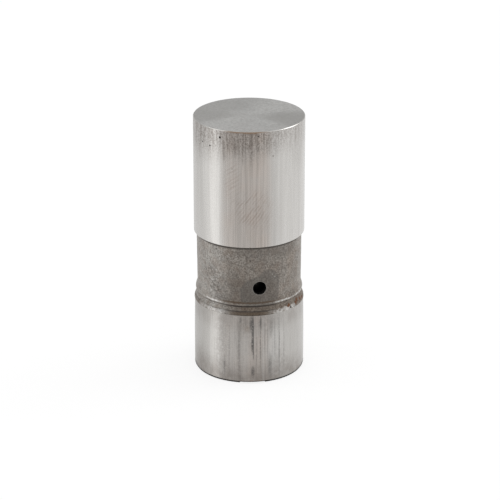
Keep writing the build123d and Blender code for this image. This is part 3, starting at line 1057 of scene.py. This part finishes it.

# %% [markdown]
# ## Cast iron, the band and the bead
#
# Cast iron that was never machined is a dull brown-grey with a fine grain. The band is darker low down on
# the left and round the oil hole, where oil has soaked in, and its left side is painted a little lighter
# where the left lamp falls. Every corner gets a line of painted shade, and the crest of the flare is rubbed
# bright and carries a painted highlight at its sides. The bead is brown and sooty in front, rubbed bright
# beside it, duller on its right, with lines of painted shade in its corners, and has a few spots of real
# rust there.

# %% Colours of the casting
CAST = (0.524, 0.502, 0.467, 1)
CAST_DARK = (0.175, 0.157, 0.142, 1)
CAST_BROWN = (0.310, 0.240, 0.190, 1)
OILED = (0.150, 0.141, 0.130, 1)
DULLED = (0.510, 0.438, 0.378, 1)
BROWN_AND_SHADE = (0.128, 0.092, 0.064, 1)
GRIME_AND_SHADE = (0.070, 0.061, 0.054, 1)
WEAR_AND_PAINTED_LIGHT = (0.620, 0.605, 0.585, 1)
RUST = (0.160, 0.068, 0.030, 1)


# %% Recipe of the cast skin
def cast_skin(name, brown_share):
    """Cast iron before its own marks, with blotches and a brown tinge, and its grain."""
    skin = Finish(name, CAST, Metallic=0.90)
    grain = skin.noise(3.6, 3.0, 0.7)
    skin.coat(CAST_DARK, skin.span(skin.noise(0.42, 4.0, 0.6), 0.40, 0.68, 0.0, 0.28))
    skin.coat(CAST_DARK, skin.span(skin.noise(1.1, 3.0, 0.6), 0.40, 0.62, 0.0, 0.28))
    skin.coat(CAST_DARK, skin.span(grain, 0.42, 0.60, 0.0, 0.68))
    elsewhere = skin.scaled((1, 1, 1), (31, 7, 3))
    skin.coat(CAST_BROWN, skin.span(skin.noise(0.55, at=elsewhere), 0.42, 0.62, 0.0, brown_share))
    return skin, grain


# %% Marks of the band
OIL_STAIN = [(12.5, 18.6, 3.85, 3.4), (21.5, 20.0, 2.35, 3.35)]
SOAKED = [(-18.0, 19.2, 3.8, 2.8, 0.20), (-2.0, 17.6, 3.0, 1.6, 0.14), (31.0, 27.4, 5.0, 2.4, 0.34)]
LEFT_PATCH = [(-46.0, 21.4, 1.8, 2.4), (-41.0, 19.4, 1.4, 1.9), (-36.0, 18.0, 0.8, 1.0)]
HOLE_RIM = [(HOLE_ANGLE, HOLE_Z / MM, 1.44, 1.44)]
DARK_DOTS = [
    (-37.8, 27.0, 0.22, 0.18),
    (1.1, 25.3, 0.16, 0.20),
    (25.0, 24.3, 0.10, 0.10),
    (24.1, 18.7, 0.10, 0.10),
]
LIGHT_DOTS = [
    (26.4, 22.2, 0.12, 0.10),
    (28.8, 21.6, 0.14, 0.10),
    (-14.0, 26.1, 0.14, 0.10),
    (-46.0, 18.2, 0.14, 0.14),
]
BAND_CORNER, FLARE_FOOT, GROOVE_BOTTOM, LIP = 28.00, 16.68, 15.95, 16.42

# %% The cast band
band, grain = cast_skin("cast band", 0.25)
wander, jitter = band.wandering(1.4, 0.6), band.wandering(0.25, 1.8)
# Painted light: the left side of the band is a little lighter, where the left lamp falls
band.coat(WEAR_AND_PAINTED_LIGHT, band.mask("facing", Angle=-72.0, Low=0.62, High=0.95), 0.08)
# Darker at the front and right, more so towards the bottom of the band
oil_and_shade = band.span(band.axes(band.place)[2], 25.5, 18.0)
ahead = band.mask("facing", Angle=18.0, Low=0.56, High=0.86)
fresh = band.spot(44.0, 19.4, 2.4, 3.6, 0.5, wander)
front_dulling = band.maths("MULTIPLY_ADD", oil_and_shade, 0.22, 0.43)
band.coat(DULLED, ahead, front_dulling, band.maths("MULTIPLY_ADD", fresh, -0.42, 1.0), how="MULTIPLY")
soaked = band.maths("MAXIMUM", *[band.spot(*spot, 0.05, jitter) for spot in OIL_STAIN])
band.coat(OILED, soaked, 0.52)
band.stain(OILED, SOAKED, 0.55, 1.0, wander)
scratched = band.mask("hatch", jitter, Angle=-43.0, Height=20.5, Lean=0.05, Lines=1.1)
spotted = band.span(band.noise(1.6, 4.0, 0.7), 0.44, 0.60)
patch = band.maths("MULTIPLY_ADD", scratched, 0.22, band.times(spotted, 0.36))
band.stain(GRIME_AND_SHADE, LEFT_PATCH, 0.7, patch, wander)
band.stain(WEAR_AND_PAINTED_LIGHT, HOLE_RIM, 0.05, 0.20)
band.stain(PIT, DARK_DOTS, 0.4, 0.5, jitter)
band.stain(WEAR_AND_PAINTED_LIGHT, LIGHT_DOTS, 0.4, 0.5, jitter)
in_front = band.mask("facing", Angle=0.0, Low=0.80, High=0.95)
# Painted shade: dark lines under the upper land's edge, in the fillet above the flare and in the groove
band.line(GRIME_AND_SHADE, BAND_CORNER, 0.16, 0.35, 0.85)
band.stain(GRIME_AND_SHADE, [(-34.0, BAND_CORNER, 3.6, 0.50)], 0.4, 0.40, jitter)
band.line(BROWN_AND_SHADE, FLARE_FOOT, 0.13, 0.14, band.maths("MULTIPLY_ADD", in_front, 0.72, 0.1), jitter)
band.line(GRIME_AND_SHADE, GROOVE_BOTTOM, 0.10, 0.12, 0.90)
# The crest of the flare is rubbed bright, and a painted highlight lies on it at the sides, away from the
# front and the far left
crest = band.mask("level", jitter, Height=LIP, Half_Height=0.12, Softness=0.10)
rubbed = band.span(band.noise(1.9, 4.0, 0.8), 0.43, 0.57, 0.08, 1.0)
far_left = band.mask("facing", Angle=-100.0, Low=0.64, High=0.74)
lip_wear_and_highlight = band.times(crest, rubbed, band.without(in_front, 1.10), band.without(far_left))
band.coat(WEAR_AND_PAINTED_LIGHT, lip_wear_and_highlight)
roughness = band.span(grain, 0.3, 0.7, 0.48, 0.62)
cast_band = band.done(band.maths("MULTIPLY_ADD", lip_wear_and_highlight, -0.22, roughness), grain, 0.05, 0.8)

# %% Marks of the bead
RUST_SPOTS = [
    (46.8, 14.92, 0.44, 0.28),
    (59.0, 14.86, 0.40, 0.38),
    (62.5, 15.16, 0.38, 0.36),
    (70.0, 14.98, 0.48, 0.34),
    (77.0, 14.70, 0.55, 0.34),
]
# Each line of painted shade in a corner of the bead has a height, a half height and a strength
BEAD_SHADE_LINES = [(14.95, 0.07, 0.80), (14.17, 0.05, 0.80), (15.86, 0.06, 0.85)]

# %% The bead
bead, grain = cast_skin("rusty bead", 0.26)
wander, jitter = bead.wandering(0.8, 1.6), bead.wandering(0.16, 1.8)
low_face = bead.mask("level", wander, Height=14.40, Half_Height=0.45, Softness=0.15)
to_front = bead.mask("facing", Angle=0.0, Low=0.84, High=1.0)
far_right = bead.mask("facing", Angle=75.0, Low=0.60, High=0.85)
far_left = bead.mask("facing", Angle=-90.0, Low=0.62, High=0.92)
rubbed = bead.span(bead.noise(1.9, 4.0, 0.7), 0.40, 0.58)
rubbed_front = bead.mask("facing", Angle=-3.0, Low=0.44, High=0.574)
rubbed_back = bead.mask("facing", Angle=180.0, Low=0.20, High=0.60)
to_side = bead.times(bead.without(to_front), bead.maths("MULTIPLY_ADD", rubbed_back, 0.6, rubbed_front))
shiny = bead.times(low_face, to_side, bead.maths("MULTIPLY_ADD", rubbed, 0.6, 0.3))
bead.coat(DULLED, bead.mask("facing", Angle=60.0, Low=-0.17, High=0.50), 0.80, how="MULTIPLY")
bead.coat(WEAR_AND_PAINTED_LIGHT, shiny)
sooty = bead.maths("MAXIMUM", bead.times(to_front, 0.50), bead.times(far_left, 0.40))
bead.coat(BROWN_AND_SHADE, bead.maths("MULTIPLY_ADD", low_face, sooty, bead.times(to_front, 0.22)))
# Painted shade: dark lines in the crease, at the bead's lower corner and in the groove
for height, half_height, strength in BEAD_SHADE_LINES:
    around = bead.maths("MULTIPLY_ADD", to_front, strength * 0.7, strength * 0.3)
    bead.line(GRIME_AND_SHADE, height, half_height, 0.10, bead.times(around, bead.without(far_right)), jitter)
bead.stain(RUST, RUST_SPOTS, 0.40, 0.9, wander)
bead.stain(WEAR_AND_PAINTED_LIGHT, [(54.4, 14.42, 0.50, 0.28)], 0.30, 0.7, wander)
bead.stain(PIT, [(49.6, 14.50, 0.14, 0.26)], 0.40, 0.75)
roughness = bead.span(grain, 0.3, 0.7, 0.45, 0.62)
bead_skin = bead.done(bead.maths("MULTIPLY_ADD", shiny, -0.18, roughness), grain, 0.05, 0.8)

# %% [markdown]
# ## Bore and oil hole
#
# Inside, an oil film has darkened the iron. The wall of the oil hole is painted almost black, as painted
# shade, so that it reads as a hole from any side.

# %% Oily iron
OIL_FILM, OIL_THIN = (0.060, 0.056, 0.052, 1), (0.130, 0.120, 0.108, 1)
DEEP_BLACK, LESS_BLACK = (0.004, 0.004, 0.004, 1), (0.012, 0.011, 0.010, 1)
bore = Finish("oily bore", OIL_FILM, Metallic=0.6)
film = bore.noise(0.6, 4.0)
bore.coat(OIL_THIN, bore.span(film, 0.35, 0.65))
oily_iron = bore.done(bore.span(film, 0.3, 0.7, 0.30, 0.48))
# Painted shade: the hole's wall is made nearly black and barely reflecting
wall = Finish("hole wall", DEEP_BLACK, Metallic=0.0, Specular_IOR_Level=0.1)
film = wall.noise(2.0, 2.0)
wall.coat(LESS_BLACK, film)
hole_black = wall.done(wall.span(film, 0.3, 0.7, 0.7, 0.9))

# %% [markdown]
# ## Putting the finishes on the shell
#
# The shell is one piece with several finishes, so each zone of faces gets its own slot, chosen
# by where a face lies and which way it looks. A later zone takes its faces from an earlier one.

# %% Give each zone its finish
HOLE_WAY = place_at(1, HOLE_ANGLE, 0)
UPPER_EDGE, GROOVE_EDGE, BEAD_EDGE = UPPER_LAND_Z - 0.05 * MM, GROOVE_Z - 0.02 * MM, BEAD_LOW_Z + 0.01 * MM


def in_hole(spot, normal):
    """True on the wall of the oil hole, which is close to its middle line and looks at it."""
    rest = spot - Vector((0, 0, HOLE_Z))
    off_axis = (rest - HOLE_WAY * rest.dot(HOLE_WAY)).length
    return off_axis < HOLE_R + 0.02 * MM and spot.y < 0 and abs(normal.dot(HOLE_WAY)) < 0.3


ZONES = [
    (oily_iron, lambda spot, normal: True),
    (upper_land, lambda spot, normal: outside(spot) and spot.z > UPPER_EDGE and normal.z > -0.7),
    (lower_land, lambda spot, normal: outside(spot) and spot.z < BEAD_EDGE or spot.z < 0.02 * MM),
    (cast_band, lambda spot, normal: outside(spot) and GROOVE_EDGE < spot.z < UPPER_EDGE),
    (bead_skin, lambda spot, normal: outside(spot) and BEAD_EDGE <= spot.z <= GROOVE_EDGE),
    (cam_edge, lambda spot, normal: spot.z > LENGTH - CAM_BEVEL and normal.z > 0.15),
    (cam_face, lambda spot, normal: spot.z > LENGTH - 0.005 * MM and normal.z > 0.9),
    (hole_black, in_hole),
]
for index, (finish, wanted) in enumerate(ZONES):
    tappet_shell.data.materials.append(finish)
    edit_faces(tappet_shell, wanted)
    tappet_shell.active_material_index = index
    bpy.ops.object.material_slot_assign()
    bpy.ops.object.mode_set(mode="OBJECT")
    print(finish.name, sum(face.material_index == index for face in tappet_shell.data.polygons))

# %% [markdown]
# ## Steels inside
#
# The rest is steel: drawn wire, a hardened cup, a stamped cage and disc, a ground plunger and a polished
# ball. They share one recipe with other values: a base colour, a darker film in patches, and streaks or
# grain as the making left them. The plunger also has a waist painted black, as painted shade where it shows
# through the oil hole.


# %% Recipe of a steel
def steel(name, bright, film, roughness, across, along, bump, waist=None):
    """A steel with a film in patches, marks that run round or along it, and maybe a waist painted black as
    shade.
    """
    metal = Finish(name, bright, Metallic=1.0)
    patches = metal.noise(0.7, 4.0)
    marks = metal.mask("streaks", Across=across, Along=along, Low=0.35, High=0.65)
    metal.coat(film, metal.span(patches, 0.40, 0.68, 0.0, 0.7))
    metal.coat(film, marks, 0.18)
    if waist:
        height, half_height = waist
        # Painted shade: a black band where the plunger shows through the oil hole
        oil_and_shade = metal.mask("level", Height=height, Half_Height=half_height, Softness=0.3)
        metal.coat(PIT, oil_and_shade)
        patches = metal.maths("MAXIMUM", patches, oil_and_shade)
    return metal.done(metal.span(patches, 0.3, 0.7, roughness, roughness + 0.12), marks, bump, 0.6)


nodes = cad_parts
WEARERS = {
    "spring wire": [wire_ring, plunger_coil, ball_coil],
    "hardened cup": [pushrod_cup],
    "stamped sheet": [nodes["check_ball_cage"], nodes["metering_disc"]],
    "ground plunger": [nodes["plunger"]],
    "polished ball": [nodes["check_ball"]],
}
# Each steel has its bright colour and its film, its roughness, how fine its marks are across and along, its
# bump, and for the plunger the height and half height of its waist of painted shade
STEELS = {
    "spring wire": ((0.30, 0.29, 0.28, 1), (0.12, 0.10, 0.085, 1), 0.32, 2.0, 2.0, 0.006),
    "hardened cup": ((0.50, 0.49, 0.47, 1), (0.24, 0.20, 0.165, 1), 0.24, 0.15, 6.0, 0.003),
    "stamped sheet": ((0.52, 0.51, 0.49, 1), (0.27, 0.24, 0.21, 1), 0.36, 3.0, 3.0, 0.004),
    "ground plunger": ((0.60, 0.59, 0.57, 1), (0.33, 0.28, 0.23, 1), 0.22, 0.10, 7.0, 0.002, (18.8, 3.5)),
    "polished ball": ((0.68, 0.68, 0.67, 1), (0.44, 0.42, 0.40, 1), 0.10, 4.0, 4.0, 0.001),
}
for name, wearers in WEARERS.items():
    finish = steel(name, *STEELS[name])
    for piece in wearers:
        piece.data.materials.clear()
        piece.data.materials.append(finish)
    print(name, "on", len(wearers))

# %% [markdown]
# ## Floor, light and camera
#
# The tappet stands on a plain white table in a light tent. A metal piece is mostly a mirror of
# its surroundings, so the tent matters more than the lamps: it is bright at the sides and
# behind, with a brighter strip on the left, and darker in front, where the camera stands. The
# upright lands mirror what lies lower than the camera, so for the metal the table lets the tent
# through, apart from the dark ring of shadow where the tappet stands on it. The table lies a
# hair below the rim, can be seen through from below, and lets the tent light the open mouth.

# %% The tent
world = bpy.data.worlds.new("light tent")
bpy.context.scene.world = world
world.use_nodes = True
tent = Recipe(world.node_tree)
tent.place = tent.node("TexCoord").outputs["Generated"]
up = tent.axes(tent.place)[2]
dark_front = tent.mask("facing", Angle=-4.0, Low=0.18, High=1.0)
side_strip = tent.mask("facing", Angle=-76.0, Low=cos(radians(15.5)), High=cos(radians(5)))
behind_left = tent.mask("facing", Angle=-150.0, Low=0.60, High=1.0)
walls = tent.maths("MULTIPLY_ADD", dark_front, -0.30, 0.97)
walls = tent.maths("MULTIPLY_ADD", side_strip, 0.43, walls)
walls = tent.maths("MULTIPLY_ADD", behind_left, -0.12, walls)
mirrored = tent.choose(tent.span(up, -0.12, 0.22), walls, tent.span(up, 0.30, 0.95, 0.60, 0.80))
rays = tent.node("LightPath").outputs
seen = tent.choose(rays["Is Glossy Ray"], 0.80, mirrored)
background = world.node_tree.nodes["Background"].inputs
background["Color"].default_value = (1, 1, 1, 1)
tent.put(background["Strength"], tent.choose(rays["Is Camera Ray"], seen, 1.0))

# %% The table
TABLE_SIZE, TABLE_Z = 6.0, -0.02 * MM
TABLE_WHITE, TABLE_GLOW, GLOW_SHARE, SHADOW_GLOW = 0.82, 1.12, 0.72, 0.08
# Radii in millimetres between which the shadow under the rim ends, outside and inside
SHADOW_OUTSIDE, SHADOW_INSIDE = (10.8, 11.5), (10.4, 10.2)
floor = added("floor", bpy.ops.mesh.primitive_plane_add, size=TABLE_SIZE, location=(0, 0, TABLE_Z))
table = bpy.data.materials.new("white table")
table.use_nodes = True
table.node_tree.nodes.clear()
recipe = Recipe(table.node_tree)
recipe.place = recipe.scaled((1 / MM,) * 3, at=recipe.node("TexCoord").outputs["Object"])


def mixed(share, first, second):
    """Mixes two shaders by a share."""
    return recipe.node("MixShader", {0: share, 1: first, 2: second}).outputs[0]


away = recipe.vector("LENGTH", recipe.place, output="Value")
rays = recipe.node("LightPath").outputs
paper = recipe.node("BsdfDiffuse", {"Color": (TABLE_WHITE,) * 3 + (1,)}).outputs[0]
white = recipe.node("Emission", {"Strength": TABLE_GLOW}).outputs[0]
shadow = recipe.node("Emission", {"Strength": SHADOW_GLOW}).outputs[0]
tent_wall = recipe.node("BsdfTransparent").outputs[0]
beyond, under = recipe.span(away, *SHADOW_OUTSIDE), recipe.span(away, *SHADOW_INSIDE)
for_metal = mixed(recipe.maths("MAXIMUM", beyond, under), shadow, tent_wall)
for_light = mixed(rays["Is Glossy Ray"], paper, for_metal)
from_above = mixed(rays["Is Camera Ray"], for_light, mixed(GLOW_SHARE, paper, white))
below = recipe.node("NewGeometry").outputs["Backfacing"]
out = table.node_tree.nodes.new("ShaderNodeOutputMaterial")
recipe.put(out.inputs["Surface"], mixed(below, from_above, tent_wall))
floor.data.materials.append(table)


# %% The lamps
def softbox(name, angle, elevation, distance, width, height, radiance):
    """A square lamp of an even brightness that faces the middle of the tappet."""
    lamp = bpy.data.lights.new(name, "AREA")
    lamp.shape = "RECTANGLE"
    lamp.size, lamp.size_y = width, height
    lamp.energy = radiance * pi * width * height
    box = bpy.data.objects.new(name, lamp)
    bpy.context.collection.objects.link(box)
    middle = Vector((0, 0, LENGTH / 2))
    flat = distance * cos(radians(elevation))
    box.location = middle + place_at(flat, angle, distance * sin(radians(elevation)))
    box.rotation_euler = (middle - box.location).to_track_quat("-Z", "Y").to_euler()


LAMP_DISTANCE = 0.60
softbox("left softbox", -95, 47, LAMP_DISTANCE, width=0.12, height=0.30, radiance=1.2)
softbox("right softbox", 108, 39, LAMP_DISTANCE, width=0.36, height=0.26, radiance=2.2)

# %% [markdown]
# The camera stands where the photograph was taken from. Its focal length in pixels and the
# column that it points at were fitted to the two end ellipses of the tappet.

# %% The camera
PICTURE, FOCAL_PX, CENTRE_PX = 500, 2264.356, 249.104
SENSOR = 36.0
CAMERA_PITCH, CAMERA_BACK, CAMERA_UP = 21.612, 409.39 * MM, 185.76 * MM
camera_data = bpy.data.cameras.new("camera")
camera_data.sensor_width = SENSOR
camera_data.lens = SENSOR * FOCAL_PX / PICTURE
camera_data.shift_x = (PICTURE / 2 - CENTRE_PX) / PICTURE
camera = bpy.data.objects.new("camera", camera_data)
bpy.context.collection.objects.link(camera)
camera.location = (0, -CAMERA_BACK, CAMERA_UP)
camera.rotation_euler = (radians(90 - CAMERA_PITCH), 0, 0)
bpy.context.scene.camera = camera
bpy.context.scene.view_settings.view_transform = "Standard"
